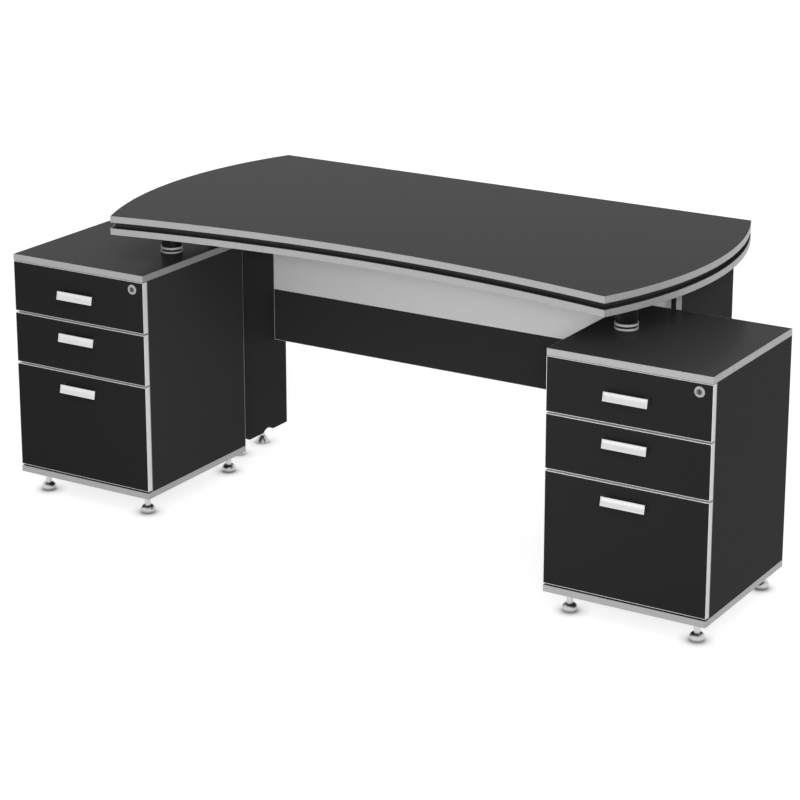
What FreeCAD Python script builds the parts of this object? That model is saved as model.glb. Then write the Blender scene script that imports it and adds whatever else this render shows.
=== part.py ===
import FreeCAD, Part
import math
import os
from types import SimpleNamespace

import Sketcher

# Executive desk on two drawer pedestals and two rear legs, in millimetres.
# +X runs to the right of a person at the drawers, +Y to the screen side, +Z up.
# The origin is on the floor, under the middle of the desk's overall box.

SIZES = {
    # whole desk
    "overall_width": 1889,
    "desk_height": 750,
    "desk_reach": 805,
    "edge_band": 1,
    "running_fit": 0.05,
    "seat_clearance": 0.2,
    "cut_overrun": 2,
    # desktop
    "top_end_setback": 196.5,
    "top_end_bow": 81,
    "top_corner_setback": 35.5,
    "top_front_dip": 66,
    "upper_board": 15.5,
    "spacer_layer": 15,
    "lower_board": 15.5,
    "spacer_recess": 12,
    # stand-off posts and their rings
    "post_inset": 79.5,
    "post_setback": 226,
    "post_height": 79,
    "post_radius": 25,
    "post_stud_radius": 10,
    "ring_radius": 27.5,
    "base_ring": 4.2,
    "ring_gap": 5,
    "upper_ring": 5.2,
    # rear legs
    "leg_side_inset": 3.5,
    "leg_board": 13,
    "leg_spacer": 13,
    "leg_gap": 17,
    "leg_depth": 287.5,
    "leg_clearance": 35,
    "leg_spacer_recess": 10,
    "leg_foot_spacing": 109,
    "notch_chord": 46,
    "notch_height": 9,
    # modesty screen
    "screen_inset": 53.5,
    "screen_joint_height": 421,
    "screen_bottom_height": 281,
    "screen_upper": 12,
    "screen_lower": 16,
    # pedestal carcass
    "pedestal_width": 397,
    "pedestal_depth": 415,
    "pedestal_clearance": 57,
    "pedestal_top": 16,
    "pedestal_bottom": 15.5,
    "pedestal_side": 16,
    "pedestal_back": 12,
    # drawer fronts; the file drawer takes the height that the others leave
    "front_board": 15.5,
    "front_gap": 1,
    "top_reveal": 1.5,
    "drawer_reveal": 5,
    "bottom_reveal": 4.5,
    "box_front_height": 127,
    # drawer boxes
    "box_back_room": 37.5,
    "box_wall": 12,
    "box_bottom": 5,
    "box_lift": 12,
    "file_box_headroom": 50,
    "groove_rise": 9,
    "groove_depth": 6,
    # two-part drawer runners
    "runner_space": 13,
    "runner_setback": 2,
    "runner_height": 35,
    "runner_gauge": 1.5,
    "runner_clearance": 0.3,
    "runner_tip_gap": 0.5,
    # bar handles
    "handle_length": 107,
    "handle_height": 20.5,
    "handle_reach": 18,
    "handle_bar": 7,
    "handle_foot": 9,
    "handle_rim": 2.5,
    "handle_lean": 4,
    "handle_dish_radius": 26,
    "handle_edge": 1,
    "middle_handle_drop": 63,
    "upper_handle_drop": 38.5,
    # cam locks
    "lock_drop": 19.5,
    "lock_side_room": 5.8,
    "lock_box_room": 9,
    "lock_flange_radius": 12.5,
    "lock_flange": 2.6,
    "lock_flange_edge": 0.9,
    "lock_barrel_radius": 9.5,
    "lock_barrel_behind": 2,
    "plug_radius": 6.5,
    "plug_sink": 0.7,
    "key_slot_length": 8,
    "key_slot_width": 1.8,
    "key_slot_depth": 6,
    "cam_gap": 0.5,
    "cam_plate": 3,
    "cam_width": 13,
    "cam_bite": 5,
    "cam_room": 1.5,
    # levelling feet
    "foot_radius": 17.5,
    "foot_rim": 2.5,
    "foot_dome": 20,
    "foot_dome_radius": 32,
    "foot_stem_radius": 7.5,
    "foot_spigot_radius": 5,
    "foot_spigot": 11,
    "foot_inset_side": 42,
    "foot_inset_front": 51,
    "foot_inset_back": 18,
    "leg_stem_room": 0.5,
    "leg_spigot_radius": 4,
}

HALF_TURN = math.pi
FACING_FRONT = FreeCAD.Rotation(FreeCAD.Vector(1, 0, 0), 90)
FACING_SIDE = FreeCAD.Rotation(FreeCAD.Vector(1, 1, 1), 120)
SIDES = {"left": -1, "right": 1}

doc = FreeCAD.newDocument("pedestal_desk")
sheet = doc.addObject("Spreadsheet::Sheet", "sizes")
for row, (alias, number) in enumerate(SIZES.items(), start=1):
    sheet.set(f"A{row}", alias)
    sheet.set(f"B{row}", str(number))
    sheet.setAlias(f"B{row}", alias)
doc.recompute()


class Size:
    """A length that knows its value and the sheet expression it comes from."""

    def __init__(self, text, value):
        self.text = text
        self.value = value

    def __add__(self, other):
        other = as_size(other)
        return Size(f"({self.text} + {other.text})", self.value + other.value)

    def __sub__(self, other):
        other = as_size(other)
        return Size(f"({self.text} - {other.text})", self.value - other.value)

    def __mul__(self, other):
        other = as_size(other)
        return Size(f"({self.text} * {other.text})", self.value * other.value)

    def __truediv__(self, other):
        other = as_size(other)
        return Size(f"({self.text} / {other.text})", self.value / other.value)

    def __neg__(self):
        return ZERO - self

    __radd__ = __add__
    __rmul__ = __mul__


def as_size(number):
    return number if isinstance(number, Size) else Size(f"({number})", number)


ZERO = Size("0", 0)
size = SimpleNamespace(**{alias: Size(f"sizes.{alias}", float(sheet.get(alias))) for alias in SIZES})


def arc_radius(half_chord, rise):
    return (half_chord * half_chord + rise * rise) / (2 * rise)


# Levels and places that several pieces share.
front_y = (size.handle_reach - size.desk_reach) / 2
front_rear_y = front_y + size.front_board
carcass_y = front_rear_y + size.front_gap
pedestal_back_y = front_y + size.pedestal_depth
pedestal_mid_y = front_y + size.pedestal_depth / 2
pedestal_mid_x = (size.overall_width - size.pedestal_width) / 2
top_half_length = size.overall_width / 2 - size.top_end_setback
top_corner_x = top_half_length - size.top_end_bow
spacer_z = size.desk_height - size.upper_board - size.spacer_layer
desktop_z = spacer_z - size.lower_board
pedestal_height = desktop_z - size.post_height
pedestal_top_z = pedestal_height - size.pedestal_top
side_z = size.pedestal_clearance + size.pedestal_bottom
side_height = pedestal_top_z - side_z
reveals = size.top_reveal + 2 * size.drawer_reveal + size.bottom_reveal
file_front_height = side_height - reveals - 2 * size.box_front_height
post_x = pedestal_mid_x - size.pedestal_width / 2 + size.post_inset
post_y = front_y + size.post_setback
clear_width = size.pedestal_width - 2 * size.pedestal_side
box_width = clear_width - 2 * size.runner_space
box_length = size.pedestal_depth - size.pedestal_back - size.front_board - size.box_back_room
lock_x = (size.pedestal_width / 2 - size.pedestal_side - size.lock_side_room
          - size.lock_barrel_radius)
lock_depth = size.front_board + size.lock_barrel_behind
cam_depth = lock_depth + size.cam_gap
cam_reach = size.top_reveal + size.lock_drop + size.cam_bite
leg_mid_x = top_corner_x - size.leg_side_inset - size.leg_board - size.leg_spacer / 2
leg_inner_x = leg_mid_x - size.leg_spacer / 2 - size.leg_board
leg_y = pedestal_back_y + size.leg_gap
leg_mid_y = leg_y + size.leg_depth / 2
leg_foot_z = size.leg_clearance + size.leg_spacer_recess
leg_stem_radius = size.leg_spacer / 2 - size.leg_stem_room

# Drawers from the top down: height of the front, of its lower edge and of the box wall.
box_wall_height = (size.box_front_height - size.box_lift - size.lock_drop
                   - size.lock_barrel_radius - size.lock_box_room)
file_wall_height = file_front_height - size.box_lift - size.file_box_headroom
file_z = side_z + size.bottom_reveal
second_z = file_z + file_front_height + size.drawer_reveal
first_z = second_z + size.box_front_height + size.drawer_reveal
DRAWERS = {
    1: SimpleNamespace(z=first_z, front=size.box_front_height, wall=box_wall_height,
                       drop=size.middle_handle_drop, lock=True),
    2: SimpleNamespace(z=second_z, front=size.box_front_height, wall=box_wall_height,
                       drop=size.upper_handle_drop, lock=False),
    3: SimpleNamespace(z=file_z, front=file_front_height, wall=file_wall_height,
                       drop=size.upper_handle_drop, lock=False),
}
lock_z = first_z + size.box_front_height - size.lock_drop

nodes = []


def bind(thing, path, length):
    thing.setExpression(path, length.text)


def place(thing, x, y, z, rotation=FreeCAD.Rotation()):
    thing.Placement = FreeCAD.Placement(FreeCAD.Vector(), rotation)
    for axis, length in zip("xyz", (x, y, z)):
        bind(thing, f"Placement.Base.{axis}", length)
    return thing


def new_body(label):
    body = doc.addObject("PartDesign::Body", label)
    body.Label = label
    return body


def new_sketch(body, plane="XY_Plane", offset=ZERO):
    sketch = body.newObject("Sketcher::SketchObject", f"{body.Name}_sketch")
    support = next(f for f in body.Origin.OriginFeatures if f.Role == plane)
    sketch.AttachmentSupport = (support, [""])
    sketch.MapMode = "FlatFace"
    bind(sketch, "AttachmentOffset.Base.z", offset)
    return sketch


def dimension(sketch, kind, *where):
    """Add one driving dimension; the last argument is its length."""
    *points, length = where
    index = sketch.addConstraint(Sketcher.Constraint(kind, *points, length.value))
    bind(sketch, f"Constraints[{index}]", length)


def pin(sketch, geometry, end, x, y):
    dimension(sketch, "DistanceX", -1, 1, geometry, end, x)
    dimension(sketch, "DistanceY", -1, 1, geometry, end, y)


def arc_through(start, end, radius):
    """Arc from start to end that swells to the right of its path."""
    along = end - start
    sag = radius - math.sqrt(radius * radius - along.Length * along.Length / 4)
    outward = FreeCAD.Vector(along.y, -along.x, 0).normalize()
    return Part.Arc(start, (start + end) / 2 + outward * sag, end)


def outline(sketch, points, arcs=None):
    """Closed outline through the points, anticlockwise; arcs gives the radius of a rounded side."""
    arcs = arcs or {}
    first = sketch.GeometryCount
    count = len(points)
    corners = [FreeCAD.Vector(x.value, y.value, 0) for x, y in points]
    for i, corner in enumerate(corners):
        following = corners[(i + 1) % count]
        if i in arcs:
            sketch.addGeometry(arc_through(corner, following, arcs[i].value), False)
        else:
            sketch.addGeometry(Part.LineSegment(corner, following), False)
    for i in range(count):
        following = first + (i + 1) % count
        sketch.addConstraint(Sketcher.Constraint("Coincident", first + i, 2, following, 1))
    for i, (x, y) in enumerate(points):
        pin(sketch, first + i, 1, x, y)
    for i, radius in arcs.items():
        dimension(sketch, "Radius", first + i, radius)


def rectangle(sketch, width, height):
    x = width / 2
    y = height / 2
    outline(sketch, [(-x, -y), (x, -y), (x, y), (-x, y)])


def circle(sketch, x, y, radius):
    centre = FreeCAD.Vector(x.value, y.value, 0)
    index = sketch.addGeometry(Part.Circle(centre, FreeCAD.Vector(0, 0, 1), radius.value), False)
    pin(sketch, index, 3, x, y)
    dimension(sketch, "Radius", index, radius)


def pad(body, sketch, length, down=False):
    feature = body.newObject("PartDesign::Pad", f"{body.Name}_pad")
    feature.Profile = sketch
    feature.Reversed = down
    bind(feature, "Length", length)
    return feature


def pocket(body, sketch, depth, up=False):
    doc.recompute()
    before = body.Shape.Volume
    feature = body.newObject("PartDesign::Pocket", f"{body.Name}_pocket")
    feature.Profile = sketch
    feature.Reversed = up
    bind(feature, "Length", depth)
    doc.recompute()
    if body.Shape.Volume >= before:
        raise RuntimeError(f"{body.Label}: the pocket cuts nothing")
    return feature


def revolve(body, points, arcs=None):
    sketch = new_sketch(body, "XZ_Plane")
    outline(sketch, points, arcs)
    feature = body.newObject("PartDesign::Revolution", f"{body.Name}_turned")
    feature.Profile = sketch
    feature.ReferenceAxis = (sketch, ["V_Axis"])
    return feature


def plate(label, width, height, thickness):
    body = new_body(label)
    sketch = new_sketch(body)
    rectangle(sketch, width, height)
    pad(body, sketch, thickness)
    return body


def band_loop(label, width, height, thickness):
    """Edge band that wraps all four sides of a board."""
    body = new_body(label)
    sketch = new_sketch(body)
    rectangle(sketch, width, height)
    rectangle(sketch, width - 2 * size.edge_band, height - 2 * size.edge_band)
    pad(body, sketch, thickness)
    return body


def bar(label, points, length):
    body = new_body(label)
    sketch = new_sketch(body)
    outline(sketch, points)
    pad(body, sketch, length)
    return body


def mirrored(points, hand):
    """The points as they are for hand 1, or flipped left to right for hand -1."""
    return points if hand > 0 else [(-x, y) for x, y in reversed(points)]


def group(label, members):
    compound = doc.addObject("Part::Compound", label)
    compound.Label = label
    compound.Links = members
    return compound


def keep(node):
    nodes.append(node)
    return node


# Desktop


def desktop_outline(sketch, inset):
    """Bowed ends, hollow front and straight back, drawn in by the inset all round."""
    corner_y = front_y + size.top_corner_setback
    back_y = front_y + size.desk_reach
    half_depth = (back_y - corner_y) / 2
    front_radius = arc_radius(top_corner_x, size.top_front_dip)
    front_centre_y = corner_y + size.top_front_dip - front_radius
    end_radius = arc_radius(half_depth, size.top_end_bow)
    end_centre_x = top_half_length - end_radius
    end_centre_y = corner_y + half_depth
    front_sweep = math.asin(top_corner_x.value / front_radius.value)
    end_sweep = math.asin(half_depth.value / end_radius.value)
    normal = FreeCAD.Vector(0, 0, 1)

    def arc(x, y, radius, middle, sweep):
        round_edge = Part.Circle(FreeCAD.Vector(x.value, y.value, 0), normal, radius.value)
        index = sketch.addGeometry(Part.ArcOfCircle(round_edge, middle - sweep, middle + sweep), False)
        pin(sketch, index, 3, x, y)
        dimension(sketch, "Radius", index, radius)
        return index

    back_line_y = back_y - inset
    front = arc(ZERO, front_centre_y, front_radius + inset, HALF_TURN / 2, front_sweep)
    right = arc(end_centre_x, end_centre_y, end_radius - inset, 0, end_sweep)
    left = arc(-end_centre_x, end_centre_y, end_radius - inset, HALF_TURN, end_sweep)
    corner = FreeCAD.Vector(top_corner_x.value, back_line_y.value, 0)
    far_corner = FreeCAD.Vector(-corner.x, corner.y, 0)
    back = sketch.addGeometry(Part.LineSegment(corner, far_corner), False)
    for one, one_end, other, other_end in ((front, 1, right, 1), (right, 2, back, 1),
                                           (back, 2, left, 1), (left, 2, front, 2)):
        sketch.addConstraint(Sketcher.Constraint("Coincident", one, one_end, other, other_end))
    sketch.addConstraint(Sketcher.Constraint("Horizontal", back))
    dimension(sketch, "DistanceY", -1, 1, back, 1, back_line_y)


def desktop_layer(label, insets, thickness, z):
    body = new_body(label)
    sketch = new_sketch(body)
    for inset in insets:
        desktop_outline(sketch, inset)
    pad(body, sketch, thickness)
    return place(body, ZERO, ZERO, z)


def desktop():
    upper_z = spacer_z + size.spacer_layer
    keep(desktop_layer("desktop_upper_board", [size.edge_band], size.upper_board, upper_z))
    keep(desktop_layer("desktop_spacer", [size.spacer_recess], size.spacer_layer, spacer_z))
    keep(desktop_layer("desktop_lower_board", [size.edge_band], size.lower_board, desktop_z))
    whole_width = [ZERO, size.edge_band]
    keep(group("desktop_edge_bands", [
        desktop_layer("upper_board_band", whole_width, size.upper_board, upper_z),
        desktop_layer("lower_board_band", whole_width, size.lower_board, desktop_z),
    ]))


def standoff_posts():
    neck_z = size.base_ring
    ring_z = neck_z + size.ring_gap
    body_z = ring_z + size.upper_ring
    stud = size.post_stud_radius
    wide = size.post_radius
    hole = stud + size.seat_clearance
    posts = []
    rings = []
    for side, hand in SIDES.items():
        post = new_body(f"{side}_post")
        revolve(post, [
            (ZERO, ZERO), (stud, ZERO), (stud, neck_z), (wide, neck_z), (wide, ring_z), (stud, ring_z),
            (stud, body_z), (wide, body_z), (wide, size.post_height), (ZERO, size.post_height),
        ])
        posts.append(place(post, hand * post_x, post_y, pedestal_height))
        for name, z, thickness in (("base", ZERO, size.base_ring), ("upper", ring_z, size.upper_ring)):
            ring = new_body(f"{side}_{name}_ring")
            sketch = new_sketch(ring)
            circle(sketch, ZERO, ZERO, size.ring_radius)
            circle(sketch, ZERO, ZERO, hole)
            pad(ring, sketch, thickness)
            rings.append(place(ring, hand * post_x, post_y, pedestal_height + z))
    keep(group("standoff_posts", posts))
    keep(group("standoff_rings", rings))


# Rear legs and modesty screen


def leg_board(label, x):
    """Side board of a leg with an arched notch over each foot, between its two edge bands."""
    height = desktop_z - size.leg_clearance
    body = plate(label, size.leg_depth - 2 * size.edge_band, height, size.leg_board)
    radius = arc_radius(size.notch_chord / 2, size.notch_height)
    drop = radius - size.notch_height
    sketch = new_sketch(body)
    for hand in SIDES.values():
        circle(sketch, hand * size.leg_foot_spacing / 2, -(height / 2) - drop, radius)
    pocket(body, sketch, size.leg_board, up=True)
    return place(body, x, leg_mid_y, size.leg_clearance + height / 2, FACING_SIDE)


def leg_spacer(label, x):
    """Hidden middle layer of a leg, with a blind socket for each foot's spigot."""
    height = desktop_z - leg_foot_z
    body = plate(label, size.leg_spacer, size.leg_depth - 2 * size.leg_spacer_recess, height)
    sketch = new_sketch(body)
    for hand in SIDES.values():
        circle(sketch, ZERO, hand * size.leg_foot_spacing / 2, size.leg_spigot_radius + size.running_fit)
    pocket(body, sketch, size.foot_spigot + size.cut_overrun, up=True)
    return place(body, x, leg_mid_y, leg_foot_z)


def leg_bands(label, x):
    height = desktop_z - size.leg_clearance
    bands = []
    for name, hand in (("front", -1), ("back", 1)):
        strip = plate(f"{label}_{name}_band", size.leg_board, size.edge_band, height)
        y = leg_mid_y + hand * (size.leg_depth - size.edge_band) / 2
        bands.append(place(strip, x + size.leg_board / 2, y, size.leg_clearance))
    return bands


def legs():
    bands = []
    for side, hand in SIDES.items():
        pitch = (size.leg_board + size.leg_spacer) / 2
        inner_x = hand * (leg_mid_x - pitch) - size.leg_board / 2
        outer_x = hand * (leg_mid_x + pitch) - size.leg_board / 2
        keep(group(f"{side}_leg", [
            leg_board(f"{side}_leg_inner_board", inner_x),
            leg_spacer(f"{side}_leg_spacer", hand * leg_mid_x),
            leg_board(f"{side}_leg_outer_board", outer_x),
        ]))
        bands += leg_bands(f"{side}_leg_inner", inner_x)
        bands += leg_bands(f"{side}_leg_outer", outer_x)
    return bands


def modesty_screen():
    width = 2 * leg_inner_x
    y = leg_y + size.leg_depth - size.screen_inset
    upper_height = desktop_z - size.screen_joint_height
    lower_height = size.screen_joint_height - size.screen_bottom_height
    lower_mid_z = size.screen_bottom_height + lower_height / 2
    upper = plate("screen_upper_panel", width, upper_height, size.screen_upper)
    upper_mid_z = size.screen_joint_height + upper_height / 2
    keep(place(upper, ZERO, y + size.screen_upper, upper_mid_z, FACING_FRONT))
    inside = 2 * size.edge_band
    lower = plate("screen_lower_panel", width - inside, lower_height - inside, size.screen_lower)
    keep(place(lower, ZERO, y + size.screen_lower, lower_mid_z, FACING_FRONT))
    band = band_loop("screen_lower_band", width, lower_height, size.screen_lower)
    return [place(band, ZERO, y + size.screen_lower, lower_mid_z, FACING_FRONT)]


# Pedestals


def pedestal_cap(side, middle_x):
    """Top board with the blind slot that the lock's cam turns up into."""
    inside = 2 * size.edge_band
    board = plate(f"{side}_pedestal_top_board", size.pedestal_width - inside,
                  size.pedestal_depth - inside, size.pedestal_top)
    sketch = new_sketch(board)
    near = cam_depth - size.cam_room - size.pedestal_depth / 2
    far = cam_depth + size.cam_plate + size.cam_room - size.pedestal_depth / 2
    start = lock_x - cam_reach - size.cam_room
    end = lock_x + size.cam_width / 2 + size.cam_room
    outline(sketch, [(start, near), (end, near), (end, far), (start, far)])
    pocket(board, sketch, size.cam_bite + size.cam_room, up=True)
    keep(place(board, middle_x, pedestal_mid_y, pedestal_top_z))
    band = band_loop(f"{side}_top_board_band", size.pedestal_width, size.pedestal_depth, size.pedestal_top)
    return place(band, middle_x, pedestal_mid_y, pedestal_top_z)


def foot_places():
    """Centres of a pedestal's feet, from the middle of its bottom board."""
    x = size.pedestal_width / 2 - size.foot_inset_side
    front = size.foot_inset_front - size.pedestal_depth / 2
    back = size.pedestal_depth / 2 - size.foot_inset_back
    return {
        "front_left": (-x, front),
        "front_right": (x, front),
        "back_left": (-x, back),
        "back_right": (x, back),
    }


def pedestal_base(side, middle_x):
    """Bottom board with a blind socket for each levelling foot."""
    inside = 2 * size.edge_band
    board = plate(f"{side}_pedestal_bottom_board", size.pedestal_width - inside,
                  size.pedestal_depth - inside, size.pedestal_bottom)
    sketch = new_sketch(board)
    for x, y in foot_places().values():
        circle(sketch, x, y, size.foot_spigot_radius + size.running_fit)
    pocket(board, sketch, size.foot_spigot + size.cut_overrun, up=True)
    keep(place(board, middle_x, pedestal_mid_y, size.pedestal_clearance))
    band = band_loop(f"{side}_bottom_board_band", size.pedestal_width, size.pedestal_depth,
                     size.pedestal_bottom)
    return place(band, middle_x, pedestal_mid_y, size.pedestal_clearance)


def pedestal_carcass(side, middle_x):
    """Two sides with banded front and rear edges, and a back let in between them."""
    depth = pedestal_back_y - carcass_y - 2 * size.edge_band
    edge_y = {"front": carcass_y + size.edge_band / 2, "rear": pedestal_back_y - size.edge_band / 2}
    walls = []
    bands = []
    for name, hand in SIDES.items():
        x = middle_x + hand * (size.pedestal_width - size.pedestal_side) / 2
        wall = plate(f"{side}_pedestal_{name}_side", size.pedestal_side, depth, side_height)
        walls.append(place(wall, x, carcass_y + size.edge_band + depth / 2, side_z))
        for edge, y in edge_y.items():
            label = f"{side}_pedestal_{name}_side_{edge}_band"
            band = plate(label, size.pedestal_side, size.edge_band, side_height)
            bands.append(place(band, x, y, side_z))
    back = plate(f"{side}_pedestal_back", clear_width, size.pedestal_back, side_height)
    walls.append(place(back, middle_x, pedestal_back_y - size.pedestal_back / 2, side_z))
    keep(group(f"{side}_pedestal_carcass", walls))
    return bands


def channel(height, flange):
    """Section of a rolled channel, web on the left and flanges to the right."""
    gauge = size.runner_gauge
    low = height / 2
    lip = low - gauge
    return [(ZERO, -low), (flange, -low), (flange, -lip), (gauge, -lip), (gauge, lip), (flange, lip),
            (flange, low), (ZERO, low)]


def runner(label, points, hand, x, end_y, z):
    """One runner member, rolled from a channel and laid front to back."""
    rail = bar(label, mirrored(points, hand), box_length)
    return place(rail, x, end_y, z, FACING_FRONT)


def runner_mid_z(drawer):
    return drawer.z + size.box_lift + drawer.wall / 2


def runner_flange():
    return size.runner_space - size.runner_gauge - size.runner_tip_gap


def cabinet_runners(side, middle_x):
    points = channel(size.runner_height, runner_flange())
    end_y = carcass_y + size.runner_setback + box_length
    rails = []
    for number, drawer in DRAWERS.items():
        for name, hand in SIDES.items():
            x = middle_x + hand * clear_width / 2
            label = f"{side}_cabinet_runner_{number}_{name}"
            rails.append(runner(label, points, -hand, x, end_y, runner_mid_z(drawer)))
    keep(group(f"{side}_pedestal_runners", rails))


def pedestals():
    bands = []
    for side, hand in SIDES.items():
        middle_x = hand * pedestal_mid_x
        bands.append(pedestal_cap(side, middle_x))
        bands.append(pedestal_base(side, middle_x))
        bands += pedestal_carcass(side, middle_x)
        cabinet_runners(side, middle_x)
    keep(group("pedestal_edge_bands", bands))


# Drawers


def drawer_front(name, drawer, middle_x):
    inside = 2 * size.edge_band
    front = plate(f"{name}_front", size.pedestal_width - inside, drawer.front - inside, size.front_board)
    if drawer.lock:
        sketch = new_sketch(front)
        from_middle = drawer.front / 2 - size.lock_drop
        circle(sketch, lock_x, from_middle, size.lock_barrel_radius + size.seat_clearance)
        pocket(front, sketch, size.front_board, up=True)
    z = drawer.z + drawer.front / 2
    keep(place(front, middle_x, front_rear_y, z, FACING_FRONT))
    band = band_loop(f"{name}_front_band", size.pedestal_width, drawer.front, size.front_board)
    keep(place(band, middle_x, front_rear_y, z, FACING_FRONT))


def grooved_wall(height):
    """Section of a box wall with the groove that holds the bottom panel, on its right face."""
    wall = size.box_wall
    root = wall - size.groove_depth
    low = size.groove_rise
    high = low + size.box_bottom + size.seat_clearance
    return [(ZERO, ZERO), (wall, ZERO), (wall, low), (root, low), (root, high), (wall, high),
            (wall, height), (ZERO, height)]


def drawer_box(name, drawer, middle_x):
    z = drawer.z + size.box_lift
    end_y = front_rear_y + box_length
    section = grooved_wall(drawer.wall)
    inside_width = box_width - 2 * size.box_wall
    pieces = []
    for hand_name, hand in SIDES.items():
        x = middle_x + hand * box_width / 2
        wall = bar(f"{name}_{hand_name}_wall", mirrored(section, -hand), box_length)
        pieces.append(place(wall, x, end_y, z, FACING_FRONT))
    front = bar(f"{name}_inner_front", section, inside_width)
    pieces.append(place(front, middle_x - inside_width / 2, front_rear_y, z, FACING_SIDE))
    groove_top = size.groove_rise + size.box_bottom + size.seat_clearance
    back = plate(f"{name}_back_wall", inside_width, size.box_wall, drawer.wall - groove_top)
    pieces.append(place(back, middle_x, end_y - size.box_wall / 2, z + groove_top))
    tongue = size.groove_depth - size.seat_clearance
    panel_length = box_length - size.box_wall + tongue
    panel = plate(f"{name}_bottom_panel", inside_width + 2 * tongue, panel_length, size.box_bottom)
    pieces.append(place(panel, middle_x, end_y - panel_length / 2, z + size.groove_rise))
    inner_height = size.runner_height - 2 * size.runner_gauge - 2 * size.runner_clearance
    points = channel(inner_height, runner_flange())
    for hand_name, hand in SIDES.items():
        x = middle_x + hand * box_width / 2
        label = f"{name}_{hand_name}_runner"
        pieces.append(runner(label, points, hand, x, end_y, runner_mid_z(drawer)))
    keep(group(f"{name}_box", pieces))


def drawer_handle(name, drawer, middle_x):
    """Flat bow handle whose face leans back towards its top and is dished inside a raised rim."""
    half = size.handle_length / 2
    reach = size.handle_reach
    gap = reach - size.handle_bar
    hand_half = half - size.handle_foot
    height = size.handle_height
    handle = new_body(f"{name}_handle")
    sketch = new_sketch(handle)
    outline(sketch, [(-half, -reach), (half, -reach), (half, ZERO), (hand_half, ZERO), (hand_half, -gap),
                     (-hand_half, -gap), (-hand_half, ZERO), (-half, ZERO)])
    pad(handle, sketch, height)

    def face_y(z):
        return size.handle_lean * z / height - reach

    over = size.cut_overrun
    clear_y = -reach - over
    below = -over
    above = height + over
    slope = new_sketch(handle, "YZ_Plane", -half - over)
    outline(slope, [(clear_y, below), (face_y(below), below), (face_y(above), above), (clear_y, above)])
    pocket(handle, slope, 2 * (half + over), up=True)
    inner = half - size.handle_rim
    low = size.handle_rim
    high = height - size.handle_rim
    dish = new_sketch(handle, "YZ_Plane", -inner)
    outline(dish, [(clear_y, low), (face_y(low), low), (face_y(high), high), (clear_y, high)],
            {1: size.handle_dish_radius})
    dished = pocket(handle, dish, 2 * inner, up=True)
    fillet = handle.newObject("PartDesign::Fillet", f"{handle.Name}_edges")
    fillet.Base = (dished, face_edges(dished.Shape))
    bind(fillet, "Radius", size.handle_edge)
    top = drawer.z + drawer.front
    keep(place(handle, middle_x, front_y, top - drawer.drop - height / 2))


def face_edges(shape):
    """Names of the edges at the ends and top of a handle's leaning face, found on the shape's own box."""
    box = shape.BoundBox
    slant = size.handle_lean.value / size.handle_height.value

    def meet(one, other):
        return math.isclose(one, other, rel_tol=1e-6, abs_tol=1e-6)

    names = []
    for number, edge in enumerate(shape.Edges, start=1):
        middle = edge.CenterOfMass
        on_face = meet(middle.y, box.YMin + slant * middle.z)
        if on_face and (meet(abs(middle.x), box.XMax) or meet(middle.z, box.ZMax)):
            names.append(f"Edge{number}")
    return names


def lock(side, middle_x):
    """Cam lock of a top drawer: flanged housing, and a plug with its key slot and cam."""
    bore = size.plug_radius + size.running_fit
    flange = size.lock_flange
    rim = size.lock_flange_radius
    barrel = size.lock_barrel_radius
    edge = size.lock_flange_edge
    housing = new_body(f"{side}_lock_housing")
    revolve(housing, [(bore, -lock_depth), (barrel, -lock_depth), (barrel, ZERO), (rim, ZERO),
                      (rim, flange - edge), (rim - edge, flange), (bore, flange)])
    x = middle_x + lock_x
    keep(place(housing, x, front_y, lock_z, FACING_FRONT))

    plug = new_body(f"{side}_lock_plug")
    face_z = flange - size.plug_sink
    revolve(plug, [(ZERO, -cam_depth), (size.plug_radius, -cam_depth), (size.plug_radius, face_z),
                   (ZERO, face_z)])
    slot = new_sketch(plug, "XY_Plane", face_z)
    rectangle(slot, size.key_slot_width, size.key_slot_length)
    pocket(plug, slot, size.key_slot_depth)
    half = size.cam_width / 2
    cam = new_sketch(plug, "XY_Plane", -cam_depth)
    outline(cam, [(-cam_reach, -half), (half, -half), (half, half), (-cam_reach, half)])
    pad(plug, cam, size.cam_plate, down=True)
    keep(place(plug, x, front_y, lock_z, FACING_FRONT))


def drawers():
    for side, hand in SIDES.items():
        middle_x = hand * pedestal_mid_x
        for number, drawer in DRAWERS.items():
            name = f"{side}_drawer_{number}"
            drawer_front(name, drawer, middle_x)
            drawer_box(name, drawer, middle_x)
            drawer_handle(name, drawer, middle_x)
        lock(side, middle_x)


# Levelling feet


def levelling_foot(label, stem, spigot, seat_z, x, y):
    """Domed foot turned about its stem, with a spigot in the socket above it."""
    foot = new_body(label)
    base = size.foot_radius
    dome_top = size.foot_dome
    top = seat_z + size.foot_spigot
    points = [(ZERO, ZERO), (base, ZERO), (base, size.foot_rim), (stem, dome_top), (stem, seat_z),
              (spigot, seat_z), (spigot, top), (ZERO, top)]
    revolve(foot, points, {2: size.foot_dome_radius})
    keep(place(foot, x, y, ZERO))


def feet():
    for side, hand in SIDES.items():
        for name, (x, y) in foot_places().items():
            levelling_foot(f"{side}_pedestal_foot_{name}", size.foot_stem_radius, size.foot_spigot_radius,
                           size.pedestal_clearance, hand * pedestal_mid_x + x, pedestal_mid_y + y)
        for name, way in (("front", -1), ("back", 1)):
            levelling_foot(f"{side}_leg_foot_{name}", leg_stem_radius, size.leg_spigot_radius,
                           leg_foot_z, hand * leg_mid_x, leg_mid_y + way * size.leg_foot_spacing / 2)


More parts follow.
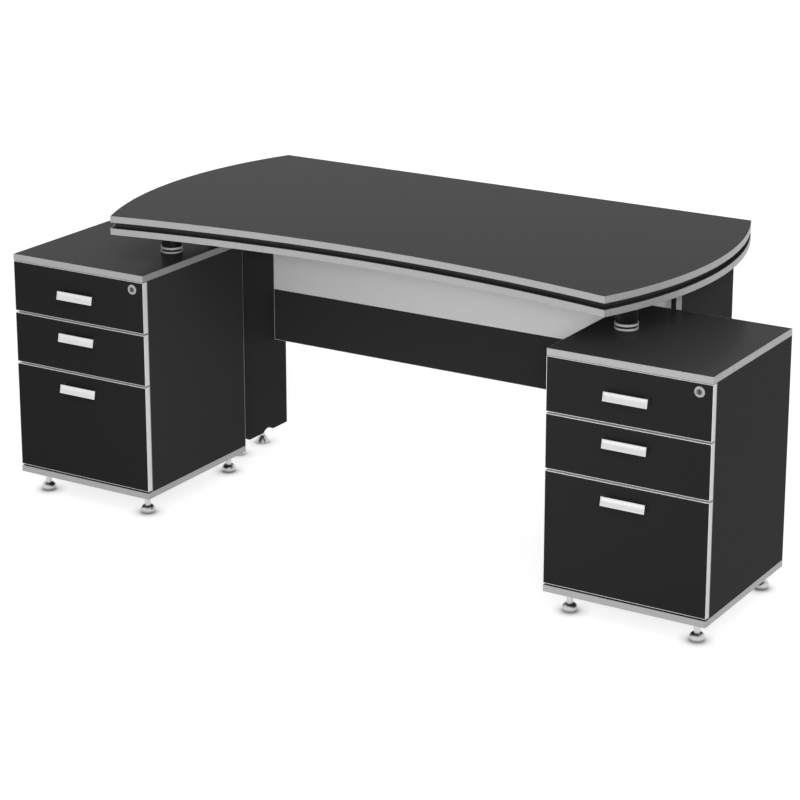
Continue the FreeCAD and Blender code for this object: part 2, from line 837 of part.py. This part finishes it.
def write_parts():
    doc.recompute()
    for thing in doc.Objects:
        if "Invalid" in thing.State or "Error" in thing.State:
            raise RuntimeError(f"{thing.Label} did not build: {thing.State}")
    for node in nodes:
        if node.Shape.isNull() or not node.Shape.isValid():
            raise RuntimeError(f"{node.Label} has no valid shape")
    os.makedirs("parts", exist_ok=True)
    for node in nodes:
        node.Shape.exportStep(os.path.join("parts", f"{node.Label}.step"))
    print(f"{len(nodes)} sub-parts written")


desktop()
standoff_posts()
rear_bands = legs()
rear_bands += modesty_screen()
keep(group("rear_edge_bands", rear_bands))
pedestals()
drawers()
feet()
write_parts()
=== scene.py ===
import math

import bpy
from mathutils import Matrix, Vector


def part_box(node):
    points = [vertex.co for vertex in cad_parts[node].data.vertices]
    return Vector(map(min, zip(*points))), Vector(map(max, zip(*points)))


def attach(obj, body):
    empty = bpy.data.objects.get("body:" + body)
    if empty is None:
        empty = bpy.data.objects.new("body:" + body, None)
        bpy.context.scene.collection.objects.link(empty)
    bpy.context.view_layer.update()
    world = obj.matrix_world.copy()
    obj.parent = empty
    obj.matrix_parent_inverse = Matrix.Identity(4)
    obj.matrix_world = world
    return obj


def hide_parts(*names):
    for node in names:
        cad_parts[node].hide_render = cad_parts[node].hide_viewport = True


# Looks of the pedestal desk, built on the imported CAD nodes. Lengths are in metres.

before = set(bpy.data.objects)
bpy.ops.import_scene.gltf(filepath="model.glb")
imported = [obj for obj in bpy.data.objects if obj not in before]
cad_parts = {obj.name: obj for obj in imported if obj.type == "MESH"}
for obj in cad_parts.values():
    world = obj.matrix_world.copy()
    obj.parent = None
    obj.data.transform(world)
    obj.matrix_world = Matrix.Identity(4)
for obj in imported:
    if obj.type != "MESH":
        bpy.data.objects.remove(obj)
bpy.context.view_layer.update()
scene = bpy.context.scene

SIDES = ("left", "right")
CORNERS = ("front_left", "front_right", "back_left", "back_right")
DRAWERS = (1, 2, 3)

# Just over half the width of a drawer box: its runner members stand further out than this.
BOX_HALF_WIDTH = 0.1696


# Shader nodes

# A Mix node takes colours in these two inputs, and gives one in this output.
MIX_COLOURS = slice(6, 8)
MIX_RESULT = 2


def feed(tree, socket, value):
    """Set a socket to a plain value, or join it to another node's output."""
    if isinstance(value, bpy.types.NodeSocket):
        tree.links.new(value, socket)
    else:
        socket.default_value = value


def math_node(tree, operation, first, second):
    node = tree.nodes.new("ShaderNodeMath")
    node.operation = operation
    feed(tree, node.inputs[0], first)
    feed(tree, node.inputs[1], second)
    return node.outputs["Value"]


def mix_colours(tree, share, first, second):
    """Colour that goes from first to second as share goes from 0 to 1."""
    node = tree.nodes.new("ShaderNodeMix")
    node.data_type = "RGBA"
    feed(tree, node.inputs["Factor"], share)
    for socket, colour in zip(node.inputs[MIX_COLOURS], (first, second)):
        feed(tree, socket, colour)
    return node.outputs[MIX_RESULT]


def grey(level, warmth=0.0):
    """Linear colour of a grey given as an sRGB level from 0 to 255, a little warmer or cooler."""
    channels = []
    for shift in (warmth, 0.0, -warmth):
        share = min(max((level + shift) / 255, 0.0), 1.0)
        channels.append(share / 12.92 if share <= 0.04045 else ((share + 0.055) / 1.055) ** 2.4)
    return (*channels, 1.0)


class Finish:
    """A Principled material together with the texture nodes that feed it."""

    def __init__(self, name, **sockets):
        self.material = bpy.data.materials.new(name)
        self.material.use_nodes = True
        self.tree = self.material.node_tree
        self.shader = self.tree.nodes["Principled BSDF"]
        for socket, value in sockets.items():
            self.shader.inputs[socket].default_value = value
        self.place = self.tree.nodes.new("ShaderNodeTexCoord").outputs["Object"]

    def noise(self, scale, stretch=(1, 1, 1), detail=3.0):
        """Noise whose grains are about 1 / scale metres, longer along an axis with a small stretch."""
        mapping = self.tree.nodes.new("ShaderNodeMapping")
        mapping.inputs["Scale"].default_value = stretch
        texture = self.tree.nodes.new("ShaderNodeTexNoise")
        texture.inputs["Scale"].default_value = scale
        texture.inputs["Detail"].default_value = detail
        texture.inputs["Roughness"].default_value = 0.55
        feed(self.tree, mapping.inputs["Vector"], self.place)
        feed(self.tree, texture.inputs["Vector"], mapping.outputs["Vector"])
        return texture.outputs["Fac"]

    def spread(self, source, low, high):
        """The noise, stretched so that its usual range covers low to high."""
        node = self.tree.nodes.new("ShaderNodeMapRange")
        node.inputs["From Min"].default_value = 0.3
        node.inputs["From Max"].default_value = 0.7
        node.inputs["To Min"].default_value = low
        node.inputs["To Max"].default_value = high
        feed(self.tree, node.inputs["Value"], source)
        return node.outputs["Result"]

    def tint(self, source, first, second):
        """Colour that goes from first to second over the noise's usual range."""
        return mix_colours(self.tree, self.spread(source, 0, 1), first, second)

    def colour(self, output):
        feed(self.tree, self.shader.inputs["Base Color"], output)

    def rough(self, source, low, high):
        feed(self.tree, self.shader.inputs["Roughness"], self.spread(source, low, high))

    def bump(self, height, strength, depth):
        node = self.tree.nodes.new("ShaderNodeBump")
        node.inputs["Strength"].default_value = strength
        node.inputs["Distance"].default_value = depth
        feed(self.tree, node.inputs["Height"], height)
        feed(self.tree, self.shader.inputs["Normal"], node.outputs["Normal"])


# Finishes


def laminate(name, dark, light, roughness, ior):
    """Melamine board: near-even colour, a fine pebbled press texture and faint wipe marks."""
    finish = Finish(name, IOR=ior)
    finish.colour(finish.tint(finish.noise(900), grey(dark), grey(light)))
    finish.rough(finish.noise(260, detail=4), roughness - 0.02, roughness + 0.02)
    finish.bump(finish.noise(1100, detail=2), 0.06, 0.0003)
    return finish.material


def satin_band(name, dark, light, metallic):
    """Silver edging: pearl grain in a satin plastic or foil."""
    finish = Finish(name, Metallic=metallic, IOR=1.4)
    finish.colour(finish.tint(finish.noise(800, detail=4), grey(dark), grey(light)))
    finish.rough(finish.noise(30), 0.36, 0.46)
    finish.bump(finish.noise(1500, detail=2), 0.05, 0.0002)
    return finish.material


def black_coat(name, level):
    """Dull black coat with a slight orange peel."""
    finish = Finish(name, IOR=1.35)
    finish.colour(finish.tint(finish.noise(40), grey(level - 3), grey(level + 3)))
    finish.rough(finish.noise(60), 0.38, 0.5)
    finish.bump(finish.noise(600, detail=1), 0.15, 0.0002)
    return finish.material


def brushed_metal(name, level, roughness, stretch, strength):
    """Metal with fine parallel lines, longest along the axis with the smallest stretch."""
    finish = Finish(name, Metallic=1.0)
    lines = finish.noise(1800, stretch, detail=4)
    finish.colour(finish.tint(lines, grey(level - 10), grey(level + 6)))
    finish.rough(lines, roughness - 0.05, roughness + 0.07)
    finish.bump(lines, strength, 0.0001)
    return finish.material


def polished_metal(name, level, roughness):
    """Plated metal with a faint haze and hairline rubbing."""
    finish = Finish(name, Metallic=1.0)
    finish.colour(finish.tint(finish.noise(90), grey(level - 6), grey(level + 4)))
    finish.rough(finish.noise(250, detail=5), roughness - 0.03, roughness + 0.06)
    finish.bump(finish.noise(2500, (1, 1, 0.1)), 0.02, 0.0001)
    return finish.material


def drawer_box_finish():
    """Grey board for the drawer boxes, and zinc for the runner members outside their walls."""
    finish = Finish("drawer_box_finish")
    tree = finish.tree
    split = tree.nodes.new("ShaderNodeSeparateXYZ")
    feed(tree, split.inputs["Vector"], finish.place)
    low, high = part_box("right_drawer_1_box")
    from_desk_middle = math_node(tree, "ABSOLUTE", split.outputs["X"], 0.0)
    past_box_middle = math_node(tree, "SUBTRACT", from_desk_middle, (low.x + high.x) / 2)
    from_box_middle = math_node(tree, "ABSOLUTE", past_box_middle, 0.0)
    outside = math_node(tree, "GREATER_THAN", from_box_middle, BOX_HALF_WIDTH)
    board = finish.tint(finish.noise(300, (1, 0.2, 1), detail=4), grey(148, 2), grey(166, 2))
    metal = finish.tint(finish.noise(120, detail=5), grey(150), grey(186))
    finish.colour(mix_colours(tree, outside, board, metal))
    feed(tree, finish.shader.inputs["Metallic"], outside)
    finish.rough(finish.noise(200), 0.38, 0.5)
    finish.bump(finish.noise(900), 0.08, 0.0002)
    return finish.material


# The top boards and the drawer fronts are the same black melamine as black_board. The top's colour is
# painted lighter and the fronts' colour painted darker, to stand in for how the light falls on them.
black_top_painted_lighter = laminate("black_top_painted_lighter", 56, 62, 0.19, 1.046)
black_board = laminate("black_board", 45, 51, 0.37, 1.045)
black_front_painted_darker = laminate("black_front_painted_darker", 32, 36, 0.37, 1.045)
panel = laminate("grey_panel", 209, 217, 0.42, 1.2)
core = black_coat("black_core", 20)
post = black_coat("post_black", 12)
band = satin_band("silver_band", 153, 167, 0.6)
# The same silver edging as silver_band, with its colour painted lighter so that the rear edges in the
# shade under the desktop and the shaded drawer gaps read bright.
band_painted_lighter = satin_band("band_painted_lighter", 200, 210, 0.25)
ring_band = satin_band("ring_silver", 205, 220, 0.25)
handle = brushed_metal("handle_aluminium", 222, 0.26, (0.02, 1, 1), 0.3)
chrome = polished_metal("chrome", 205, 0.34)
# Both lock parts are plated metal like the chrome, with colour painted darker: the ring for a painted
# dark reflection, and the recessed plug darker still for painted shade in its recess.
lock_ring_painted_darker = polished_metal("lock_ring_painted_darker", 165, 0.2)
lock_core_painted_darker = polished_metal("lock_core_painted_darker", 92, 0.3)
zinc = polished_metal("runner_steel", 172, 0.34)
box_board = drawer_box_finish()


def dress(material, *names):
    """Give CAD nodes a finish."""
    for name in names:
        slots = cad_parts[name].data.materials
        slots.clear()
        slots.append(material)


dress(black_top_painted_lighter, "desktop_upper_board")
dress(black_board, "desktop_lower_board", "left_leg", "right_leg", "screen_lower_panel")
dress(core, "desktop_spacer")
dress(band, "desktop_edge_bands", "pedestal_edge_bands")
dress(band_painted_lighter, "rear_edge_bands")
dress(panel, "screen_upper_panel")
dress(post, "standoff_posts")
dress(ring_band, "standoff_rings")
for side in SIDES:
    dress(black_top_painted_lighter, f"{side}_pedestal_top_board")
    dress(black_board, f"{side}_pedestal_bottom_board", f"{side}_pedestal_carcass")
    dress(zinc, f"{side}_pedestal_runners")
    dress(lock_ring_painted_darker, f"{side}_lock_housing")
    dress(lock_core_painted_darker, f"{side}_lock_plug")
    for number in DRAWERS:
        drawer = f"{side}_drawer_{number}"
        dress(black_front_painted_darker, f"{drawer}_front")
        dress(band_painted_lighter, f"{drawer}_front_band")
        dress(box_board, f"{drawer}_box")
        dress(handle, f"{drawer}_handle")
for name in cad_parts:
    if "_foot_" in name:
        dress(chrome, name)


# Added pieces


def turns(count):
    """Angles of evenly spaced points round a circle."""
    return [2 * math.pi * step / count for step in range(count)]


def skin(points, faces, rings):
    """Add a closed form: walls between rings of points, from the bottom up, and a face at each end."""
    first, sides = len(points), len(rings[0])
    for ring in rings:
        points += ring
    last = len(points) - sides
    for low in range(first, last, sides):
        for step in range(sides):
            here, following = low + step, low + (step + 1) % sides
            faces.append((here, following, following + sides, here + sides))
    faces.append(tuple(reversed(range(first, first + sides))))
    faces.append(tuple(range(last, last + sides)))


def add_piece(name, points, faces, material, body):
    """A new piece that moves with a body."""
    mesh = bpy.data.meshes.new(name)
    mesh.from_pydata(points, [], faces)
    mesh.materials.append(material)
    piece = bpy.data.objects.new(name, mesh)
    scene.collection.objects.link(piece)
    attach(piece, body)
    return piece


# Pan-head screws: radius and height of each ring of the head, and a cross recess in its crown.
SCREW_SIDES = 12
SCREW_RINGS = ((0.0035, 0.0), (0.0035, 0.0005), (0.003, 0.0012), (0.002, 0.0016))
SIDES_PER_ARM = 3
RECESS_DEPTH = 0.0009
RECESS_ARM, RECESS_CORE = 0.0017, 0.0006

# Depth of the runners' screwed webs inside their node's box, and screw places along a drawer box.
DRAWER_WEB = 0.0095
CABINET_WEB = 0.0015
SCREW_SHARES = (0.12, 0.5, 0.88)


def screw_head(points, faces, place, out):
    """Add a screw head that stands out from place along the unit vector out."""
    across = out.orthogonal().normalized()
    along = out.cross(across)
    crown = SCREW_RINGS[-1][1]
    cross = [RECESS_CORE if step % SIDES_PER_ARM else RECESS_ARM for step in range(SCREW_SIDES)]
    levels = [([radius] * SCREW_SIDES, height) for radius, height in SCREW_RINGS]
    levels += [(cross, crown), (cross, crown - RECESS_DEPTH)]
    rings = []
    for radii, height in levels:
        middle = place + out * height
        rings.append([middle + (across * math.cos(turn) + along * math.sin(turn)) * radius
                      for turn, radius in zip(turns(SCREW_SIDES), radii)])
    skin(points, faces, rings)


def screws(name, places, body):
    """One piece with a screw head at each pair of a point and an outward direction."""
    points, faces = [], []
    for place, out in places:
        screw_head(points, faces, Vector(place), Vector(out))
    add_piece(name, points, faces, zinc, body)


for side in SIDES:
    outer_low, outer_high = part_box(f"{side}_pedestal_runners")
    cabinet = []
    for number in DRAWERS:
        low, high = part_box(f"{side}_drawer_{number}_box")
        z = (low.z + high.z) / 2
        moving = []
        for share in SCREW_SHARES:
            y = low.y + (high.y - low.y) * share
            moving += [((low.x + DRAWER_WEB, y, z), (-1, 0, 0)),
                       ((high.x - DRAWER_WEB, y, z), (1, 0, 0))]
            cabinet += [((outer_low.x + CABINET_WEB, y, z), (1, 0, 0)),
                        ((outer_high.x - CABINET_WEB, y, z), (-1, 0, 0))]
        screws(f"{side}_drawer_{number}_screws", moving, f"{side}_drawer_{number}")
    screws(f"{side}_runner_screws", cabinet, "desk")
    low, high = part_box(f"{side}_lock_housing")
    axis = (low + high) / 2
    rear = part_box(f"{side}_lock_plug")[1].y
    screws(f"{side}_cam_screw", [((axis.x, rear, axis.z), (0, 1, 0))], f"{side}_lock")

# Pedestal feet: a chrome ball, cut flat below and above at these angles from its middle, on a stem.
FOOT_SIDES = 48
BALL_STEPS = 16
BALL_HALF_HEIGHT = 0.0135
BALL_FROM, BALL_TO = math.radians(-44.4), math.radians(51)
STEM_RADIUS, SPIGOT_RADIUS = 0.0075, 0.005
SHARP_ANGLE = math.radians(35)


def ball_foot(node, stem_top):
    """A turned foot in the space of a CAD foot, which it replaces."""
    low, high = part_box(node)
    middle = (low + high) / 2
    radius = (high.x - low.x) / 2
    middle_z = low.z - BALL_HALF_HEIGHT * math.sin(BALL_FROM)
    profile = []
    for step in range(BALL_STEPS + 1):
        tilt = BALL_FROM + (BALL_TO - BALL_FROM) * step / BALL_STEPS
        profile.append((radius * math.cos(tilt), middle_z + BALL_HALF_HEIGHT * math.sin(tilt)))
    ball_top = profile[-1][1]
    profile += [(STEM_RADIUS, ball_top), (STEM_RADIUS, stem_top)]
    profile += [(SPIGOT_RADIUS, stem_top), (SPIGOT_RADIUS, high.z)]
    rings = [[(middle.x + reach * math.cos(turn), middle.y + reach * math.sin(turn), z)
              for turn in turns(FOOT_SIDES)] for reach, z in profile]
    points, faces = [], []
    skin(points, faces, rings)
    piece = add_piece(f"{node}_ball", points, faces, chrome, node)
    piece.data.shade_smooth()
    piece.data.set_sharp_from_angle(angle=SHARP_ANGLE)
    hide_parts(node)


for side in SIDES:
    for corner in CORNERS:
        ball_foot(f"{side}_pedestal_foot_{corner}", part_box(f"{side}_pedestal_bottom_board")[0].z)


# Floor, light and camera

FLOOR_REACH = 30
# Floor grey for soft light and where it is seen, and the glow that lifts the seen floor to white.
FLOOR_SOFT = (0.8, 0.8, 0.8, 1)
FLOOR_SEEN = (0.4, 0.4, 0.4, 1)
FLOOR_GLOW = 0.78
# Painted contact shadow: the glow fades towards whatever stands within this distance, by the ambient
# occlusion raised to this power, which darkens the seen floor round the feet.
PAINTED_SHADOW_REACH = 0.034
PAINTED_SHADOW_POWER = 3

WHITE = (1, 1, 1, 1)
WORLD_SOFT, WORLD_SEEN = 0.15, 1.0

CAMERA_PLACE = (3.0330, -5.0594, 2.2711)
CAMERA_TURN = (74.204, 0, 31.5)
CAMERA_SENSOR = 36
CAMERA_LENS = 114.54
CAMERA_SHIFT = -0.15

# Name, kind, energy, a sun's angle in degrees or a disk's width, place, turn in degrees.
LAMPS = (
    ("key", "SUN", 1.5, 40, (0, 0, 3), (53, 0, 37)),
    ("top", "SUN", 0.35, 90, (0, 0, 3), (0, 0, 0)),
    ("back", "SUN", 1.3, 60, (0, 3, 3), (60, 0, 200)),
    ("front", "AREA", 120, 0.6, CAMERA_PLACE, CAMERA_TURN),
    ("kneehole", "AREA", 6.5, 0.8, (0.35, -1.5, 0.45), (91.5, 0, 23)),
)


def seen(tree):
    """1 for rays from the camera, from a mirror-like surface or through glass, and 0 for soft light."""
    path = tree.nodes.new("ShaderNodeLightPath").outputs
    direct = math_node(tree, "MAXIMUM", path["Is Camera Ray"], path["Is Glossy Ray"])
    return math_node(tree, "MAXIMUM", direct, path["Is Transmission Ray"])


def studio_floor():
    corners = [(x * FLOOR_REACH, y * FLOOR_REACH, 0) for x, y in ((-1, -1), (1, -1), (1, 1), (-1, 1))]
    mesh = bpy.data.meshes.new("studio_floor")
    mesh.from_pydata(corners, [], [(0, 1, 2, 3)])
    floor = bpy.data.objects.new("studio_floor", mesh)
    scene.collection.objects.link(floor)
    material = bpy.data.materials.new("studio_floor")
    material.use_nodes = True
    mesh.materials.append(material)
    tree = material.node_tree
    tree.nodes.remove(tree.nodes["Principled BSDF"])
    direct = seen(tree)
    diffuse = tree.nodes.new("ShaderNodeBsdfDiffuse")
    feed(tree, diffuse.inputs["Color"], mix_colours(tree, direct, FLOOR_SOFT, FLOOR_SEEN))
    # Painted shadow: ambient occlusion dims the floor's glow next to the feet.
    painted_shadow_ao = tree.nodes.new("ShaderNodeAmbientOcclusion")
    painted_shadow_ao.inputs["Distance"].default_value = PAINTED_SHADOW_REACH
    painted_shadow_fade = math_node(tree, "POWER", painted_shadow_ao.outputs["AO"], PAINTED_SHADOW_POWER)
    glow = tree.nodes.new("ShaderNodeEmission")
    lift = math_node(tree, "MULTIPLY", math_node(tree, "MULTIPLY", direct, painted_shadow_fade), FLOOR_GLOW)
    feed(tree, glow.inputs["Strength"], lift)
    both = tree.nodes.new("ShaderNodeAddShader")
    feed(tree, both.inputs[0], diffuse.outputs["BSDF"])
    feed(tree, both.inputs[1], glow.outputs["Emission"])
    feed(tree, tree.nodes["Material Output"].inputs["Surface"], both.outputs["Shader"])


def studio_world():
    world = bpy.data.worlds.new("studio")
    scene.world = world
    world.use_nodes = True
    tree = world.node_tree
    level = tree.nodes.new("ShaderNodeMapRange")
    level.inputs["To Min"].default_value = WORLD_SOFT
    level.inputs["To Max"].default_value = WORLD_SEEN
    feed(tree, level.inputs["Value"], seen(tree))
    background = tree.nodes["Background"]
    background.inputs["Color"].default_value = WHITE
    feed(tree, background.inputs["Strength"], level.outputs["Result"])


def hang(name, data, place, turn):
    """Put a lamp or the camera in the scene, turned by angles in degrees."""
    thing = bpy.data.objects.new(name, data)
    thing.location = place
    thing.rotation_euler = [math.radians(angle) for angle in turn]
    scene.collection.objects.link(thing)
    return thing


def lamp(name, kind, energy, spread, place, turn):
    """A soft lamp that shows neither to the camera nor in reflections."""
    data = bpy.data.lights.new(name, kind)
    data.energy = energy
    if kind == "SUN":
        data.angle = math.radians(spread)
    else:
        data.shape = "DISK"
        data.size = spread
    thing = hang(name, data, place, turn)
    thing.visible_camera = False
    thing.visible_glossy = False


def photo_camera():
    data = bpy.data.cameras.new("camera")
    data.sensor_width = CAMERA_SENSOR
    data.lens = CAMERA_LENS
    data.shift_y = CAMERA_SHIFT
    scene.camera = hang("camera", data, CAMERA_PLACE, CAMERA_TURN)


studio_floor()
studio_world()
for values in LAMPS:
    lamp(*values)
photo_camera()
scene.view_settings.view_transform = "Standard"
